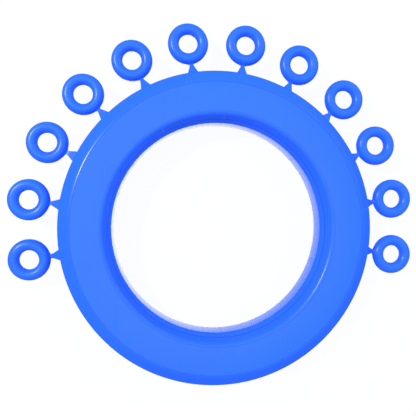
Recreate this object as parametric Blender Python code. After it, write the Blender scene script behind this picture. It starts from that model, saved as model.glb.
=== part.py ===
"""Round knitting loom: a hollow hoop with soft eyelet pegs along part of its rim.

Metres, +Z up. The hoop lies on its back face. The hoop is two moulded shells that press together on
five posts, and each peg is a soft moulding whose root is trapped between them. The shells part at
the middle of the rim, where the pegs are, and higher up in the bore, part way down its flare.
A peg bends at the thin tip of its neck, so its eyelet is a piece of its own with its origin there.
The object's origin is under the middle of its outline, on the surface that it lies on.
"""

import math

import bmesh
import bpy
from mathutils import Matrix, Vector

# Hoop
HOOP_RADIUS = 0.070
BORE_RADIUS = 0.0477
THICKNESS = 0.0196
FACE_OUTER = 0.0641  # radii of the flat face, in front and behind
FACE_INNER = 0.0515
BEVEL_FALL = 35  # degrees from the face's plane to the rim's bevel
BEVEL_ROUNDING = 0.0020  # where the face turns into the bevel
RIM_ROUNDING = 0.0018  # where the bevel turns into the rim
FLARE_FALL = 74  # degrees from the face's plane to the bore's flare, in front only
FLARE_ROUNDING = 0.0018
BACK_ROUNDING = 0.0033  # of the bore's edge behind
BORE_SEAM = 0.0049  # height of the shells' seam in the bore, above the middle plane
WALL = 0.0022
CHANNEL_INNER = 0.0508
BORE_CHAMFER = 0.0019  # inside the channel
RIM_CHAMFER = 0.0029
GAP = 0.0003  # clearance between neighbouring pieces
HOOP_SIDES = 72
ARC_STEP = 20  # degrees, at most, between the points of a rounding

# Posts that press the shells together, each in the middle of a radial web
POST_COUNT = 5
POST_RADIUS = 0.0020
BOSS_RADIUS = 0.0042
POST_REACH = 0.0040  # into the front shell's socket, past the middle plane
ROUND_SIDES = 16
WEB_THICKNESS = 0.0016
WEB_SETBACK = 0.0030  # from the middle plane

# Pegs
PEG_COUNT = 12
PEG_PITCH = math.radians(18)
FIRST_PEG = math.radians(-9)
EYELET_CIRCLE = 0.0843  # radius through the eyelets' centres
EYELET_RADIUS = 0.00665  # of the ring's own centre line
EYELET_TUBE = 0.00245
EYELET_SIDES = 20
TUBE_SIDES = 12
BEND_GAP = 0.0002  # from the bend to the eyelet's surface
SHANK_HALF = 0.0028
TIP_HALF = 0.00025
TIP_GAP = 0.00015  # from the neck's tip to the bend
FLANGE_HALF = 0.0045
FLANGE_THICKNESS = 0.0024
BACKING_THICKNESS = 0.0016
BACKING_HALF = 0.0055
BURY = 0.0003  # how far a rib or a web reaches into the wall that it joins

# Worked out from the sizes above
HALF = THICKNESS / 2
CHANNEL_OUTER = HOOP_RADIUS - WALL
CHANNEL_TOP = HALF - WALL
EYELET_OUTER = EYELET_RADIUS + EYELET_TUBE
BEND_RADIUS = EYELET_CIRCLE - EYELET_OUTER - BEND_GAP
MID_RADIUS = (FACE_OUTER + FACE_INNER) / 2
FLANGE_OUTER = CHANNEL_OUTER - GAP
FLANGE_INNER = FLANGE_OUTER - FLANGE_THICKNESS
TOP_PEG = FIRST_PEG + PEG_PITCH * (PEG_COUNT / 2 - 1)
TOP_REACH = EYELET_CIRCLE * math.sin(TOP_PEG) + EYELET_OUTER
HOOP_CENTRE = Vector((0, (HOOP_RADIUS - TOP_REACH) / 2, HALF))

BLUE_PLASTIC = ("hoop_plastic", (0.02, 0.13, 0.90, 1), 0.18)
BLUE_RUBBER = ("eyelet_rubber", (0.02, 0.13, 0.88, 1), 0.30)


def peg_angle(number):
    return FIRST_PEG + PEG_PITCH * number


def post_angles():
    return [math.pi / 2 + math.tau * n / POST_COUNT for n in range(POST_COUNT)]


def turned(angle):
    return Matrix.Rotation(angle, 4, "Z")


def clear_scene():
    for obj in list(bpy.data.objects):
        bpy.data.objects.remove(obj, do_unlink=True)


def material(name, colour, roughness):
    found = bpy.data.materials.get(name)
    if found:
        return found
    made = bpy.data.materials.new(name)
    made.use_nodes = True
    surface = made.node_tree.nodes["Principled BSDF"]
    surface.inputs["Base Color"].default_value = colour
    surface.inputs["Roughness"].default_value = roughness
    surface.inputs["Metallic"].default_value = 0
    return made


def add_object(name, bm, parent, finish=None):
    """An object of this bmesh under parent. With no finish it is a cutter or another helper."""
    bmesh.ops.recalc_face_normals(bm, faces=bm.faces)
    mesh = bpy.data.meshes.new(name)
    bm.to_mesh(mesh)
    bm.free()
    obj = bpy.data.objects.new(name, mesh)
    bpy.context.scene.collection.objects.link(obj)
    obj.parent = parent
    if finish:
        mesh.materials.append(material(*finish))
        mesh.shade_smooth()
        mesh.set_sharp_from_angle(angle=math.radians(35))
    else:
        obj.hide_render = True
        obj.display_type = "WIRE"
    return obj


def arc(centre_r, centre_z, radius, start, end):
    """Points (r, z) on a rounding, both ends included. 0 degrees is outward and 90 is upward."""
    steps = math.ceil(abs(end - start) / ARC_STEP)
    turns = [math.radians(start + (end - start) * n / steps) for n in range(steps + 1)]
    return [(centre_r + radius * math.cos(t), centre_z + radius * math.sin(t)) for t in turns]


def rim_outline():
    """From the seam up the rim, over its bevel and on to the flat face, as (r, height) points."""
    on_face = arc(FACE_OUTER, HALF - BEVEL_ROUNDING, BEVEL_ROUNDING, 90 - BEVEL_FALL, 90)
    bevel_top_r, bevel_top_z = on_face[0]
    rim_turn = math.radians(90 - BEVEL_FALL)
    centre_r = HOOP_RADIUS - RIM_ROUNDING
    bevel_foot_r = centre_r + RIM_ROUNDING * math.cos(rim_turn)
    bevel_foot_z = bevel_top_z - (bevel_foot_r - bevel_top_r) * math.tan(math.radians(BEVEL_FALL))
    centre_z = bevel_foot_z - RIM_ROUNDING * math.sin(rim_turn)
    on_rim = arc(centre_r, centre_z, RIM_ROUNDING, 0, 90 - BEVEL_FALL)
    return [(HOOP_RADIUS, GAP / 2), *on_rim, *on_face]


def flare_radius(height):
    """The bore's radius at a height on its flare."""
    turn = math.radians(90 + FLARE_FALL)
    top_r = FACE_INNER + FLARE_ROUNDING * math.cos(turn)
    top_z = HALF - FLARE_ROUNDING + FLARE_ROUNDING * math.sin(turn)
    return top_r - (top_z - height) / math.tan(math.radians(FLARE_FALL))


def front_bore_outline():
    """From the flat face over the edge and down the flare to the seam."""
    edge = arc(FACE_INNER, HALF - FLARE_ROUNDING, FLARE_ROUNDING, 90, 90 + FLARE_FALL)
    seam = BORE_SEAM + GAP / 2
    return [*edge, (flare_radius(seam), seam), (CHANNEL_INNER, seam)]


def back_bore_outline():
    """The same behind, as heights behind the middle plane: round to the bore, and up to the seam."""
    edge_r = BORE_RADIUS + BACK_ROUNDING
    edge = arc(edge_r, HALF - BACK_ROUNDING, BACK_ROUNDING, 90, 180)
    seam = BORE_SEAM - GAP / 2
    flare_length = flare_radius(seam) - BORE_RADIUS
    flare_foot = seam - flare_length * math.tan(math.radians(FLARE_FALL))
    return [*edge, (BORE_RADIUS, -flare_foot), (flare_radius(seam), -seam), (CHANNEL_INNER, -seam)]


def channel_outline(grown=0):
    """The channel's inner bend, its top and its outer bend, or a little beyond them."""
    return [
        (CHANNEL_INNER - grown, CHANNEL_TOP - BORE_CHAMFER),
        (CHANNEL_INNER + BORE_CHAMFER, CHANNEL_TOP + grown),
        (CHANNEL_OUTER - RIM_CHAMFER, CHANNEL_TOP + grown),
        (CHANNEL_OUTER + grown, CHANNEL_TOP - RIM_CHAMFER),
    ]


def shell_outline(side):
    """A shell's section as (r, height) points. Height is measured from the middle plane."""
    bore = front_bore_outline() if side == 1 else back_bore_outline()
    return [*rim_outline(), *bore, *channel_outline(), (CHANNEL_OUTER, GAP / 2)]


def turned_shell(side):
    """A shell spun about Z. side is 1 in front of the middle plane and -1 behind it."""
    bm = bmesh.new()
    corners = [bm.verts.new((r, 0, side * height)) for r, height in shell_outline(side)]
    edges = [bm.edges.new((corners[n - 1], corners[n])) for n in range(len(corners))]
    bmesh.ops.spin(
        bm,
        geom=corners + edges,
        axis=(0, 0, 1),
        cent=(0, 0, 0),
        angle=math.tau,
        steps=HOOP_SIDES,
        use_merge=True,
        use_duplicate=False,
    )
    return bm


def add_box(bm, low, high, angle=0):
    """A box between two corners, then turned about Z."""
    size = Vector(high) - Vector(low)
    place = Matrix.Translation((Vector(high) + Vector(low)) / 2)
    scale = Matrix.Diagonal((*size, 1))
    bmesh.ops.create_cube(bm, size=1, matrix=turned(angle) @ place @ scale)


def add_post(bm, radius, low, high, angle):
    """An upright cylinder on the circle of the posts."""
    middle = Matrix.Translation((MID_RADIUS, 0, (low + high) / 2))
    bmesh.ops.create_cone(
        bm,
        cap_ends=True,
        segments=ROUND_SIDES,
        radius1=radius,
        radius2=radius,
        depth=high - low,
        matrix=turned(angle) @ middle,
    )


def use_boolean(obj, helper, operation):
    modifier = obj.modifiers.new(helper.name, "BOOLEAN")
    modifier.operation = operation
    modifier.object = helper
    modifier.solver = "EXACT"


def both_ways(side, near, far):
    """Two heights in front of (1) or behind (-1) the middle plane, lower one first."""
    return sorted((side * near, side * far))


def backing_ribs(side):
    """A rib behind each peg's flange, from the shell's face to the seam."""
    bm = bmesh.new()
    low, high = both_ways(side, GAP / 2, CHANNEL_TOP + BURY)
    outer = FLANGE_INNER - GAP
    for n in range(PEG_COUNT):
        corner = (outer - BACKING_THICKNESS, -BACKING_HALF, low)
        add_box(bm, corner, (outer, BACKING_HALF, high), peg_angle(n))
    return bm


def webs(side):
    """Radial webs that stiffen the channel at the posts. In front they clear the back's bore wall."""
    bm = bmesh.new()
    inner_setback = BORE_SEAM + GAP if side == 1 else WEB_SETBACK
    outline = channel_outline(BURY)
    outline += [(CHANNEL_OUTER + BURY, WEB_SETBACK), (CHANNEL_INNER - BURY, inner_setback)]
    half = WEB_THICKNESS / 2
    for angle in post_angles():
        corners = [bm.verts.new((r, -half, side * height)) for r, height in outline]
        plate = bm.faces.new(corners)
        geometry = [plate, *plate.edges, *corners]
        grown = bmesh.ops.extrude_face_region(bm, geom=geometry)["geom"]
        far_corners = [item for item in grown if isinstance(item, bmesh.types.BMVert)]
        bmesh.ops.translate(bm, verts=far_corners, vec=(0, WEB_THICKNESS, 0))
        bmesh.ops.rotate(bm, verts=corners + far_corners, cent=(0, 0, 0), matrix=turned(angle))
    return bm


def cylinders(side, radius, near, far):
    """An upright cylinder at each post, between two heights in front of or behind the middle plane."""
    bm = bmesh.new()
    low, high = both_ways(side, near, far)
    for angle in post_angles():
        add_post(bm, radius, low, high, angle)
    return bm


def windows():
    """Square openings in the rim for the pegs' shanks."""
    bm = bmesh.new()
    half = SHANK_HALF + GAP
    for n in range(PEG_COUNT):
        low = (CHANNEL_OUTER - GAP, -half, -half)
        add_box(bm, low, (HOOP_RADIUS + WALL, half, half), peg_angle(n))
    return bm


def shell(name, side, parent, joining, cutting):
    """One half of the hoop, with everything in joining added and everything in cutting taken away."""
    half = add_object(name, turned_shell(side), parent, BLUE_PLASTIC)
    for helper in joining:
        use_boolean(half, helper, "UNION")
    for helper in cutting:
        use_boolean(half, helper, "DIFFERENCE")


def shells(parent):
    """The front shell has the sockets and the back shell has the posts."""
    rim_windows = add_object("rim_windows", windows(), parent)
    for name, side in (("front", 1), ("back", -1)):
        bosses = cylinders(side, BOSS_RADIUS, GAP / 2, CHANNEL_TOP + BURY)
        joining = [
            add_object(f"{name}_backing_ribs", backing_ribs(side), parent),
            add_object(f"{name}_webs", webs(side), parent),
            add_object(f"{name}_bosses", bosses, parent),
        ]
        cutting = [rim_windows]
        if side == 1:
            bores = cylinders(side, POST_RADIUS + GAP, -GAP, POST_REACH + 2 * GAP)
            cutting.append(add_object("socket_bores", bores, parent))
        else:
            posts = cylinders(side, POST_RADIUS, -POST_REACH, HALF / 2)
            joining.append(add_object("posts", posts, parent))
        shell(f"{name}_shell", side, parent, joining, cutting)


def peg_root_mesh():
    """Flange, shank and tapering neck as one square bar along X, its origin on the bend."""
    stations = (
        (FLANGE_OUTER, FLANGE_HALF),
        (FLANGE_OUTER, SHANK_HALF),
        (HOOP_RADIUS, SHANK_HALF),
        (BEND_RADIUS - TIP_GAP, TIP_HALF),
    )
    bm = bmesh.new()
    x, half = FLANGE_INNER, FLANGE_HALF
    place = Matrix.Translation((x - BEND_RADIUS, 0, 0)) @ Matrix.Rotation(math.pi / 2, 4, "Y")
    bmesh.ops.create_grid(bm, x_segments=1, y_segments=1, size=half, matrix=place)
    bm.faces.ensure_lookup_table()
    end = bm.faces[0]
    for next_x, next_half in stations:
        grown = bmesh.ops.extrude_face_region(bm, geom=[end, *end.edges, *end.verts])["geom"]
        end = next(item for item in grown if isinstance(item, bmesh.types.BMFace))
        bmesh.ops.translate(bm, verts=end.verts, vec=(next_x - x, 0, 0))
        bmesh.ops.scale(bm, verts=end.verts, vec=(1, next_half / half, next_half / half))
        x, half = next_x, next_half
    return bm


def eyelet_mesh():
    """A plain round ring lying flat, beyond the bend along X."""
    bm = bmesh.new()
    section = Matrix.Translation((EYELET_RADIUS, 0, 0)) @ Matrix.Rotation(math.pi / 2, 4, "X")
    half_step = turned(math.pi / EYELET_SIDES)
    bmesh.ops.create_circle(bm, segments=TUBE_SIDES, radius=EYELET_TUBE, matrix=half_step @ section)
    bmesh.ops.spin(
        bm,
        geom=bm.verts[:] + bm.edges[:],
        axis=(0, 0, 1),
        cent=(0, 0, 0),
        angle=math.tau,
        steps=EYELET_SIDES,
        use_merge=True,
        use_duplicate=False,
    )
    bmesh.ops.translate(bm, verts=bm.verts, vec=(EYELET_CIRCLE - BEND_RADIUS, 0, 0))
    return bm


def pegs(parent):
    for n in range(PEG_COUNT):
        angle = peg_angle(n)
        bend = turned(angle) @ Vector((BEND_RADIUS, 0, 0))
        for name, bm, finish in (
            (f"peg_root_{n + 1:02}", peg_root_mesh(), BLUE_RUBBER),
            (f"peg_eyelet_{n + 1:02}", eyelet_mesh(), BLUE_RUBBER),
        ):
            obj = add_object(name, bm, parent, finish)
            obj.location = bend
            obj.rotation_euler.z = angle


def main():
    clear_scene()
    hoop_axis = bpy.data.objects.new("hoop_axis", None)
    bpy.context.scene.collection.objects.link(hoop_axis)
    hoop_axis.location = HOOP_CENTRE
    shells(hoop_axis)
    pegs(hoop_axis)


main()
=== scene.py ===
"""A round knitting loom in glossy blue plastic: a hollow hoop with soft eyelet pegs on its rim."""

import math

import bmesh
import bpy
from mathutils import Matrix, Vector


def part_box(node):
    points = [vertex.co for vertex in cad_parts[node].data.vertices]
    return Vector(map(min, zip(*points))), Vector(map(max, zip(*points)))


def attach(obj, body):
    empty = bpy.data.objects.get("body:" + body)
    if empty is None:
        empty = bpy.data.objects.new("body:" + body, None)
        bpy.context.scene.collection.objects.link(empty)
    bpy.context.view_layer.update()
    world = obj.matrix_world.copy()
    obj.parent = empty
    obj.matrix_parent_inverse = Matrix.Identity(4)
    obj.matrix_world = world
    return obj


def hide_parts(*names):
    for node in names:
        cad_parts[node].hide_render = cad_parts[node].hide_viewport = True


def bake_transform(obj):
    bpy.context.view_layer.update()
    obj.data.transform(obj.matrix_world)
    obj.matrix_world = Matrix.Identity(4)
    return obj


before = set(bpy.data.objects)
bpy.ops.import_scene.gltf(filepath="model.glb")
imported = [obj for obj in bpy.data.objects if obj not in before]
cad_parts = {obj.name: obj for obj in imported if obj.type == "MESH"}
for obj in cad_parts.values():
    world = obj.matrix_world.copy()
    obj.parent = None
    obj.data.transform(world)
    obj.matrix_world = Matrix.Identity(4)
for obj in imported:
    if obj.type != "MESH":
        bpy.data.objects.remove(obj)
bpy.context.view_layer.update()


# ---------------------------------------------------------------------------------------------
# The hoop's front and back shells: two rings moulded in glossy ABS, each a channel that is open
# towards the other. Their joint shows as a crease between chamfered lips, midway up the rim and
# part way down the bore's flare. Painted shade darkens the bore's crease and the lines round the
# face.
# ---------------------------------------------------------------------------------------------

back_low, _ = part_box("back_shell")
front_low, front_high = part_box("front_shell")
hoop_radius = (front_high.x - front_low.x) / 2
half_thickness = (front_high.z - back_low.z) / 2
hoop_centre = Vector((
    (front_low.x + front_high.x) / 2,
    (front_low.y + front_high.y) / 2,
    back_low.z + half_thickness,
))

# Lengths are in metres, here and in the sections below.
BORE_RADIUS = 0.0477
SHELL_WALL = 0.0022  # thickness
FACE_OUTER = 0.0641  # radii of the flat face
FACE_INNER = 0.0515
BEVEL_FALL = math.radians(35)  # from the face's plane to the rim's bevel
BEVEL_ROUNDING = 0.0020
RIM_ROUNDING = 0.0018
FLARE_FALL = math.radians(74)  # from the face's plane to the bore's flare, in front only
FLARE_ROUNDING = 0.0018
BACK_ROUNDING = 0.0033
BORE_SEAM = 0.0049  # above the middle plane
CHANNEL_INNER = 0.0508
CHANNEL_ROUNDING = 0.0025
LIP_CHAMFER = 0.0001
LIP_GAP = 0.00003  # half of the crease between the shells
FOOT_REACH = 0.0004  # of the rounding where the flare meets the bore
HOOP_STEPS = 288
SMOOTH_LIMIT = math.radians(40)  # an edge that turns by more stays sharp

PEG_COUNT = 12
PEG_PITCH = math.radians(18)
FIRST_PEG = math.radians(-9)
SHANK_HALF = 0.0028
SHANK_FIT = 0.00004  # clearance of a peg's shank in its window
CUTTER_LENGTH = 3 * SHELL_WALL  # enough to pass right through the rim

HOOP_BLUE = (0.0155, 0.113, 0.93, 1)
HOOP_BLUE_DEEP = (0.0145, 0.107, 0.89, 1)
BLACK = (0, 0, 0, 1)
HOOP_ROUGHNESS = (0.22, 0.28)
SCUFF_ROUGHNESS = (0, 0.10)  # what scuffs add to it
SCUFF_STRETCH = (9, 0.35, 1)
SCUFF_TURN = math.radians(34)
HOOP_SPECULAR = 0.25
SEAM_SPECULAR = 0.02
LINE_WIDTH = 0.0003
FACE_LINE_PAINTED_SHADE = 0.28  # how far painted shade darkens the lines round the face towards black
# how far painted shade darkens the bore's crease towards black
SEAM_PAINTED_SHADE = 0.45


def peg_turn(number):
    """Turns a peg modelled along +X to its place round the hoop, about the hoop's axis."""
    return Matrix.Translation(hoop_centre) @ Matrix.Rotation(FIRST_PEG + PEG_PITCH * number, 4, "Z")


def make_piece(name, bm):
    """An object at the origin that holds this bmesh, with its normals facing out."""
    bmesh.ops.recalc_face_normals(bm, faces=bm.faces)
    mesh = bpy.data.meshes.new(name)
    bm.to_mesh(mesh)
    bm.free()
    piece = bpy.data.objects.new(name, mesh)
    bpy.context.scene.collection.objects.link(piece)
    return piece


def settle_modifiers(piece):
    """Makes the piece's modifiers part of its mesh."""
    evaluated = piece.evaluated_get(bpy.context.evaluated_depsgraph_get())
    finished = bpy.data.meshes.new_from_object(evaluated)
    piece.modifiers.clear()
    piece.data = finished


def dress(piece, material):
    """Gives the piece its one material, and smooth shading between its sharp edges."""
    piece.data.materials.clear()
    piece.data.materials.append(material)
    piece.data.shade_smooth()
    piece.data.set_sharp_from_angle(angle=SMOOTH_LIMIT)


def spin_round(bm, steps):
    """Spins all that the bmesh holds once round the Z axis."""
    bmesh.ops.spin(
        bm,
        geom=bm.verts[:] + bm.edges[:],
        axis=(0, 0, 1),
        cent=(0, 0, 0),
        angle=math.tau,
        steps=steps,
        use_merge=True,
        use_duplicate=False,
    )


def rounding_reach(radius, fall):
    """How far from a corner its rounding starts, for a corner that turns by this angle."""
    return radius * math.tan(fall / 2)


def round_corner(bm, corner, reach, segments):
    """Rounds one corner of a flat outline, from this far along each of its sides."""
    bmesh.ops.bevel(
        bm,
        geom=[corner],
        offset=reach,
        offset_type="OFFSET",
        segments=segments,
        profile=0.5,
        affect="VERTICES",
        material=-1,
        clamp_overlap=True,
    )


def flare_radius(height):
    """The bore's radius at a height on its flare."""
    corner = FACE_INNER - rounding_reach(FLARE_ROUNDING, FLARE_FALL)
    return corner - (half_thickness - height) / math.tan(FLARE_FALL)


def shell_ring(side):
    """One shell, rounded corner by corner in section and then spun. Side is 1 in front, -1 behind."""
    bm = bmesh.new()
    channel_top = half_thickness - SHELL_WALL
    channel_outer = hoop_radius - SHELL_WALL
    rim_reach = rounding_reach(RIM_ROUNDING, math.pi / 2 - BEVEL_FALL)
    bevel_reach = rounding_reach(BEVEL_ROUNDING, BEVEL_FALL)
    flare_reach = rounding_reach(FLARE_ROUNDING, FLARE_FALL)
    bevel_top = FACE_OUTER + bevel_reach
    bevel_foot = half_thickness - (hoop_radius - bevel_top) * math.tan(BEVEL_FALL)
    seam = BORE_SEAM + side * LIP_GAP
    # Each corner is its radius, its height towards this shell's face, and its rounding's reach
    # and steps.
    rim = [
        (hoop_radius, LIP_GAP, LIP_CHAMFER, 1),
        (hoop_radius, bevel_foot, rim_reach, 8),
        (bevel_top, half_thickness, bevel_reach, 6),
    ]
    if side == 1:
        bore = [
            (flare_radius(half_thickness), half_thickness, flare_reach, 14),
            (flare_radius(seam), seam, LIP_CHAMFER, 1),
            (CHANNEL_INNER, seam, 0, 0),
        ]
    else:
        flare_foot = seam - (flare_radius(seam) - BORE_RADIUS) * math.tan(FLARE_FALL)
        bore = [
            (BORE_RADIUS, half_thickness, BACK_ROUNDING, 10),
            (BORE_RADIUS, -flare_foot, FOOT_REACH, 3),
            (flare_radius(seam), -seam, LIP_CHAMFER, 1),
            (CHANNEL_INNER, -seam, 0, 0),
        ]
    channel = [
        (CHANNEL_INNER, channel_top, CHANNEL_ROUNDING, 4),
        (channel_outer, channel_top, CHANNEL_ROUNDING, 4),
        (channel_outer, LIP_GAP, 0, 0),
    ]
    outline = rim + bore + channel
    corners = [bm.verts.new((radius, 0, side * height)) for radius, height, _, _ in outline]
    bm.faces.new(corners)
    for corner, (_, _, reach, segments) in zip(corners, outline):
        if reach:
            round_corner(bm, corner, reach, segments)
    bmesh.ops.delete(bm, geom=bm.faces[:], context="FACES_ONLY")
    spin_round(bm, HOOP_STEPS)
    bmesh.ops.translate(bm, verts=bm.verts, vec=hoop_centre)
    return bm


def window_cutter():
    """A square bar through the rim at each peg."""
    bm = bmesh.new()
    width = 2 * (SHANK_HALF + SHANK_FIT)
    place = Matrix.Translation((hoop_radius, 0, 0))
    size = Matrix.Diagonal((CUTTER_LENGTH, width, width, 1))
    for number in range(PEG_COUNT):
        bmesh.ops.create_cube(bm, size=1, matrix=peg_turn(number) @ place @ size)
    return make_piece("rim_windows", bm)


def make_material(name, plain_inputs):
    """A material with these inputs, its node tree, and the inputs of its surface."""
    material = bpy.data.materials.new(name)
    material.use_nodes = True
    surface = material.node_tree.nodes["Principled BSDF"].inputs
    for input_name, value in plain_inputs.items():
        surface[input_name].default_value = value
    return material, material.node_tree, surface


def feed(tree, socket, value):
    """Links another node's output to this input, or sets the input to a plain value."""
    if isinstance(value, bpy.types.NodeSocket):
        tree.links.new(value, socket)
    else:
        socket.default_value = value


def calculate(tree, operation, *values):
    """The result of a Math node."""
    node = tree.nodes.new("ShaderNodeMath")
    node.operation = operation
    for socket, value in zip(node.inputs, values):
        feed(tree, socket, value)
    return node.outputs["Value"]


def spread(tree, value, source, target):
    """Carries a value from one range over to another, whose ends it doesn't pass."""
    node = tree.nodes.new("ShaderNodeMapRange")
    feed(tree, node.inputs["Value"], value)
    for name, number in zip(("From Min", "From Max", "To Min", "To Max"), (*source, *target)):
        node.inputs[name].default_value = number
    return node.outputs["Result"]


def mix(tree, data_type, factor, first, second):
    """The first where the factor is 0 and the second where it is 1: numbers or colours."""
    node = tree.nodes.new("ShaderNodeMix")
    node.data_type = data_type
    for name, value in (("Factor", factor), ("A", first), ("B", second)):
        feed(tree, node.inputs[name], value)
    return node.outputs["Result"]


def noise(tree, place, scale, detail):
    """A soft noise, mostly between 0.3 and 0.7."""
    node = tree.nodes.new("ShaderNodeTexNoise")
    node.inputs["Scale"].default_value = scale
    node.inputs["Detail"].default_value = detail
    feed(tree, node.inputs["Vector"], place)
    return node.outputs["Fac"]


def bump(tree, height, strength, distance, under=None):
    """A normal bumped by this height, on top of another bump if there is one."""
    node = tree.nodes.new("ShaderNodeBump")
    node.inputs["Strength"].default_value = strength
    node.inputs["Distance"].default_value = distance
    feed(tree, node.inputs["Height"], height)
    if under:
        feed(tree, node.inputs["Normal"], under)
    return node.outputs["Normal"]


def axes(tree, place):
    """The X, Y and Z outputs of a place."""
    node = tree.nodes.new("ShaderNodeSeparateXYZ")
    feed(tree, node.inputs["Vector"], place)
    return node.outputs


def line_at(tree, measure, value):
    """1 within a line's width of this value and 0 away from it."""
    off = calculate(tree, "ABSOLUTE", calculate(tree, "SUBTRACT", measure, value))
    return spread(tree, off, source=(LINE_WIDTH / 3, LINE_WIDTH), target=(1, 0))


def painted_shade_lines(tree, place):
    """Masks for the painted shade: the lines round the face, and the seam in the bore, each 1 on the
    line and 0 elsewhere.
    """
    centred = tree.nodes.new("ShaderNodeVectorMath")
    centred.operation = "SUBTRACT"
    centred.inputs[1].default_value = hoop_centre
    feed(tree, centred.inputs[0], place)
    apart = axes(tree, centred.outputs["Vector"])
    squares = [calculate(tree, "MULTIPLY", apart[axis], apart[axis]) for axis in "XY"]
    radius = calculate(tree, "SQRT", calculate(tree, "ADD", *squares))
    outer, inner = line_at(tree, radius, FACE_OUTER), line_at(tree, radius, FACE_INNER)
    in_bore = calculate(tree, "LESS_THAN", radius, CHANNEL_INNER)
    seam = calculate(tree, "MULTIPLY", line_at(tree, apart["Z"], BORE_SEAM), in_bore)
    return calculate(tree, "MAXIMUM", outer, inner), seam


def hoop_plastic():
    """Glossy blue ABS: a little uneven in tone, faintly rippled, and rubbed by handling.
    Painted shade darkens the lines round the face and the bore's crease.
    """
    material, tree, surface = make_material("hoop_plastic", {"IOR": 1.50, "Metallic": 0.0})
    place = tree.nodes.new("ShaderNodeTexCoord").outputs["Object"]

    # Painted shade: the colour goes towards black along the lines round the face and in the bore's
    # crease, as if shade fell in a groove there.
    face_line_shade_mask, seam = painted_shade_lines(tree, place)
    face_line_painted_shade = calculate(tree, "MULTIPLY", face_line_shade_mask, FACE_LINE_PAINTED_SHADE)
    seam_painted_shade = calculate(tree, "MULTIPLY", seam, SEAM_PAINTED_SHADE)
    painted_shade = calculate(tree, "MAXIMUM", face_line_painted_shade, seam_painted_shade)
    tone = spread(tree, noise(tree, place, scale=22, detail=3), source=(0.35, 0.65), target=(0, 1))
    blue = mix(tree, "RGBA", tone, HOOP_BLUE_DEEP, HOOP_BLUE)
    feed(tree, surface["Base Color"], mix(tree, "RGBA", painted_shade, blue, BLACK))
    # The bore's crease is also less glossy, which keeps its painted shade dark.
    specular = spread(tree, seam, source=(0, 1), target=(HOOP_SPECULAR, SEAM_SPECULAR))
    feed(tree, surface["Specular IOR Level"], specular)

    streaks = tree.nodes.new("ShaderNodeMapping")
    streaks.inputs["Scale"].default_value = SCUFF_STRETCH
    streaks.inputs["Rotation"].default_value = (0, 0, SCUFF_TURN)
    feed(tree, streaks.inputs["Vector"], place)
    scuffs = noise(tree, streaks.outputs["Vector"], scale=60, detail=6)
    rubbed = spread(tree, scuffs, source=(0.62, 0.72), target=SCUFF_ROUGHNESS)
    cloudy = noise(tree, place, scale=14, detail=4)
    gloss = spread(tree, cloudy, source=(0.3, 0.7), target=HOOP_ROUGHNESS)
    feed(tree, surface["Roughness"], calculate(tree, "ADD", gloss, rubbed))

    waves = noise(tree, place, scale=240, detail=2)
    ripple = bump(tree, waves, strength=0.12, distance=0.00005)
    pores = noise(tree, place, scale=2600, detail=2)
    grain = bump(tree, pores, strength=0.10, distance=0.00001, under=ripple)
    feed(tree, surface["Normal"], grain)
    return material


windows = window_cutter()
windows.hide_render = True
plastic = hoop_plastic()
for shell_name, side in (("front_shell", 1), ("back_shell", -1)):
    shell = make_piece(shell_name.replace("shell", "moulding"), shell_ring(side))
    cut = shell.modifiers.new("peg_windows", "BOOLEAN")
    cut.operation = "DIFFERENCE"
    cut.solver = "EXACT"
    cut.object = windows
    settle_modifiers(shell)
    dress(shell, plastic)
    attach(shell, "hoop")
    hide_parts(shell_name)
bpy.data.objects.remove(windows)


# ---------------------------------------------------------------------------------------------
# The pegs. Each is one soft elastomer moulding: a closed ring on a square neck that tapers to a
# thin tip, and a flange behind the rim that the two shells trap. A fine mould line runs round its
# middle plane.
# ---------------------------------------------------------------------------------------------

EYELET_CIRCLE = 0.0843
EYELET_RADIUS = 0.00665
EYELET_TUBE = 0.00245
RING_STEPS = 32
TUBE_STEPS = 12
SUBDIVISIONS = 3
TIP_HALF = 0.0007
TIP_CLEARANCE = 0.00035  # from the ring to the thinnest part of the neck
FLANGE_HALF = 0.0045
FLANGE_THICKNESS = 0.0024
FLANGE_GAP = 0.0003
NECK_CREASE = 0.85
NECK_INSET = 0.0003  # of the patch on the ring that the neck grows from
PATCH_HALF = 1.35 * TIP_HALF
PATCH_CURVE = 0.3  # how much of its curve that patch keeps
NEAR_CORNER = 0.9  # of the way from a section's middle to its side

PEG_BLUE = (0.0145, 0.113, 0.93, 1)
PEG_BLUE_DEEP = (0.0135, 0.105, 0.88, 1)
PEG_SPECULAR = 0.25
PEG_ROUGHNESS = (0.29, 0.36)
MOULD_LINE = (0.00004, 0.00010)  # it fades out between these distances from the middle plane


def smoothing_loss(steps):
    """How much smaller a subdivided regular polygon is than its cage."""
    return (2 + math.cos(math.tau / steps)) / 3


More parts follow.
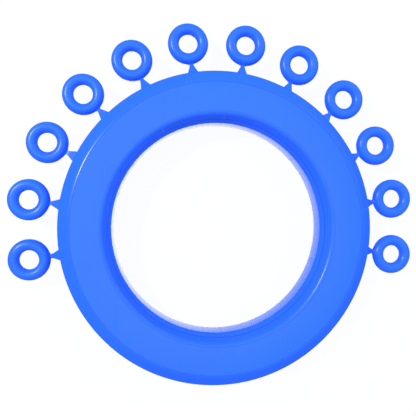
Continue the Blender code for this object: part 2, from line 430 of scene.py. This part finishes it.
def peg_cage():
    """The ring's cage, then a neck, a shank and a flange grown from the side that faces the hoop."""
    bm = bmesh.new()
    section = Matrix.Translation((EYELET_RADIUS, 0, 0)) @ Matrix.Rotation(math.pi / 2, 4, "X")
    tube = EYELET_TUBE / smoothing_loss(TUBE_STEPS)
    bmesh.ops.create_circle(bm, segments=TUBE_STEPS, radius=tube, matrix=section)
    spin_round(bm, RING_STEPS)
    widen = 1 / smoothing_loss(RING_STEPS)
    bmesh.ops.scale(bm, verts=bm.verts, vec=(widen, widen, 1))

    crease = bm.edges.layers.float.new("crease_edge")
    nearest = min(bm.verts, key=lambda vert: vert.co.x)
    patch = list(nearest.link_faces)
    bmesh.ops.inset_region(bm, faces=patch, thickness=NECK_INSET, use_even_offset=True)
    touching = nearest.co.x
    inner = {vert for face in patch for vert in face.verts}
    side_y, side_z = max(abs(vert.co.y) for vert in inner), max(abs(vert.co.z) for vert in inner)
    for vert in inner:
        vert.co.x = touching + (vert.co.x - touching) * PATCH_CURVE
        vert.co.y *= PATCH_HALF / side_y
        vert.co.z *= PATCH_HALF / side_z

    rim = hoop_radius - EYELET_CIRCLE
    channel = rim - SHELL_WALL - FLANGE_GAP
    # Each section is its place, its half width, and how sharp its long edges and its outline are.
    sections = (
        (touching - TIP_CLEARANCE, TIP_HALF, NECK_CREASE, 0),
        (rim, SHANK_HALF, NECK_CREASE, 1),
        (channel, SHANK_HALF, 1, 1),
        (channel, FLANGE_HALF, 1, 1),
        (channel - FLANGE_THICKNESS, FLANGE_HALF, 1, 1),
    )
    for x, half, long_crease, outline_crease in sections:
        geometry = patch + list({edge for face in patch for edge in face.edges})
        geometry += list({vert for face in patch for vert in face.verts})
        grown = bmesh.ops.extrude_face_region(bm, geom=geometry)["geom"]
        patch = [item for item in grown if isinstance(item, bmesh.types.BMFace)]
        loop = {vert for face in patch for vert in face.verts}
        side_y, side_z = max(vert.co.y for vert in loop), max(vert.co.z for vert in loop)
        for vert in loop:
            vert.co = (x, vert.co.y * half / side_y, vert.co.z * half / side_z)
        for vert in loop:
            if min(abs(vert.co.y), abs(vert.co.z)) > NEAR_CORNER * half:
                for edge in vert.link_edges:
                    if edge.other_vert(vert) not in loop:
                        edge[crease] = long_crease
        for edge in {edge for face in patch for edge in face.edges}:
            on_outline = sum(face in patch for face in edge.link_faces) == 1
            if on_outline:
                edge[crease] = outline_crease
    return bm


def peg_rubber():
    """Soft blue elastomer: a shade duller than the hoop, fine-grained, with its mould line."""
    plain = {"IOR": 1.48, "Specular IOR Level": PEG_SPECULAR, "Metallic": 0.0}
    material, tree, surface = make_material("peg_rubber", plain)
    attribute = tree.nodes.new("ShaderNodeAttribute")
    attribute.attribute_name = "moulded_place"
    place = attribute.outputs["Vector"]

    tone = spread(tree, noise(tree, place, scale=90, detail=3), source=(0.35, 0.65), target=(0, 1))
    feed(tree, surface["Base Color"], mix(tree, "RGBA", tone, PEG_BLUE_DEEP, PEG_BLUE))
    cloudy = noise(tree, place, scale=70, detail=4)
    gloss = spread(tree, cloudy, source=(0.3, 0.7), target=PEG_ROUGHNESS)
    feed(tree, surface["Roughness"], gloss)

    height = calculate(tree, "ABSOLUTE", axes(tree, place)["Z"])
    ridge = spread(tree, height, source=MOULD_LINE, target=(1, 0))
    mould_line = bump(tree, ridge, strength=0.6, distance=0.00006)
    pores = noise(tree, place, scale=1800, detail=3)
    grain = bump(tree, pores, strength=0.12, distance=0.00002, under=mould_line)
    feed(tree, surface["Normal"], grain)
    return material


rubber = peg_rubber()
for number in range(PEG_COUNT):
    label = f"{number + 1:02}"
    peg = make_piece(f"peg_{label}", peg_cage())
    smooth = peg.modifiers.new("smooth", "SUBSURF")
    smooth.levels = smooth.render_levels = SUBDIVISIONS
    settle_modifiers(peg)
    moulded = peg.data.attributes.new("moulded_place", "FLOAT_VECTOR", "POINT")
    for vert in peg.data.vertices:
        moulded.data[vert.index].vector = vert.co + Vector((number, 0, 0))
    peg.data.transform(peg_turn(number) @ Matrix.Translation((EYELET_CIRCLE, 0, 0)))
    dress(peg, rubber)
    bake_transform(peg)
    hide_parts(f"peg_root_{label}", f"peg_eyelet_{label}")


# ---------------------------------------------------------------------------------------------
# The table, the studio light and the camera. The loom lies on plain white board in an even white
# surround, with a small lamp high on the left and a wide fill low on the right. Gloss sees only
# the lamp and two pale panels, one overhead and one that stands in for the board below.
# ---------------------------------------------------------------------------------------------

SURROUND = 0.95
GLOSS_PANEL = 2.3  # brightness of the two panels that only gloss sees
PANEL_RISE = (0.84, 0.95)  # sines of the angles up or down where they start and where they are full
WHITE = (1, 1, 1, 1)
LAMP_AZIMUTH, LAMP_HEIGHT = math.radians(154.5), math.radians(45.7)
LAMP_DIAMETER = 0.08
LAMP_IRRADIANCE = 2.65  # watts per square metre at the loom
FILL_AZIMUTH, FILL_HEIGHT = math.radians(30), math.radians(25)
FILL_DIAMETER = 1.0
FILL_IRRADIANCE = 1.5
LIGHT_DISTANCE = 1.2
FLOOR_SIZE = 12.0
FLOOR_DROP = 0.00005  # gap under the loom
FLOOR_TONE = (0.030, 0.030, 0.030, 1)
FLOOR_GLOW_TONE = (0.975, 0.983, 1, 1)
FLOOR_GLOW = 0.965
CAMERA_PLACE = Vector((-0.0223, 0.0121, 0.1878))  # from the middle of the hoop
CAMERA_TURN = (-0.87, -5.45, -0.19)  # degrees about X, Y and Z, from looking straight down
CAMERA_LENS = 35.76  # focal length in millimetres
NEAR_CLIP = 0.01

bm = bmesh.new()
bmesh.ops.create_grid(bm, x_segments=1, y_segments=1, size=FLOOR_SIZE / 2)
bmesh.ops.translate(bm, verts=bm.verts, vec=(0, 0, back_low.z - FLOOR_DROP))
floor = make_piece("floor", bm)
floor.visible_glossy = False
board_inputs = {
    "Base Color": FLOOR_TONE,
    "Emission Color": FLOOR_GLOW_TONE,
    "Emission Strength": FLOOR_GLOW,
    "Roughness": 0.8,
    "Specular IOR Level": 0.2,
}
floor.data.materials.append(make_material("white_board", board_inputs)[0])

world = bpy.data.worlds.new("surround")
world.use_nodes = True
tree = world.node_tree
direction = tree.nodes.new("ShaderNodeTexCoord").outputs["Generated"]
upright = calculate(tree, "ABSOLUTE", axes(tree, direction)["Z"])
panel = spread(tree, upright, source=PANEL_RISE, target=(0, GLOSS_PANEL))
seen_by_gloss = tree.nodes.new("ShaderNodeLightPath").outputs["Is Glossy Ray"]
background = tree.nodes["Background"].inputs
feed(tree, background["Color"], WHITE)
feed(tree, background["Strength"], mix(tree, "FLOAT", seen_by_gloss, SURROUND, panel))
bpy.context.scene.world = world


def disk_light(name, azimuth, height, diameter, irradiance):
    """A round light that faces the middle of the hoop from this direction."""
    data = bpy.data.lights.new(name, "AREA")
    data.shape = "DISK"
    data.size = diameter
    data.energy = irradiance * math.pi * LIGHT_DISTANCE**2
    light = bpy.data.objects.new(name, data)
    bpy.context.scene.collection.objects.link(light)
    way = Matrix.Rotation(azimuth, 3, "Z") @ Matrix.Rotation(-height, 3, "Y") @ Vector((1, 0, 0))
    light.location = hoop_centre + way * LIGHT_DISTANCE
    light.rotation_euler = way.to_track_quat("Z", "Y").to_euler()
    return light


disk_light("lamp", LAMP_AZIMUTH, LAMP_HEIGHT, LAMP_DIAMETER, LAMP_IRRADIANCE)
fill = disk_light("fill", FILL_AZIMUTH, FILL_HEIGHT, FILL_DIAMETER, FILL_IRRADIANCE)
fill.visible_glossy = False

camera_data = bpy.data.cameras.new("camera")
camera_data.lens = CAMERA_LENS
camera_data.clip_start = NEAR_CLIP
camera = bpy.data.objects.new("camera", camera_data)
bpy.context.scene.collection.objects.link(camera)
camera.location = hoop_centre + CAMERA_PLACE
camera.rotation_euler = [math.radians(angle) for angle in CAMERA_TURN]
bpy.context.scene.camera = camera
bpy.context.scene.view_settings.view_transform = "Standard"
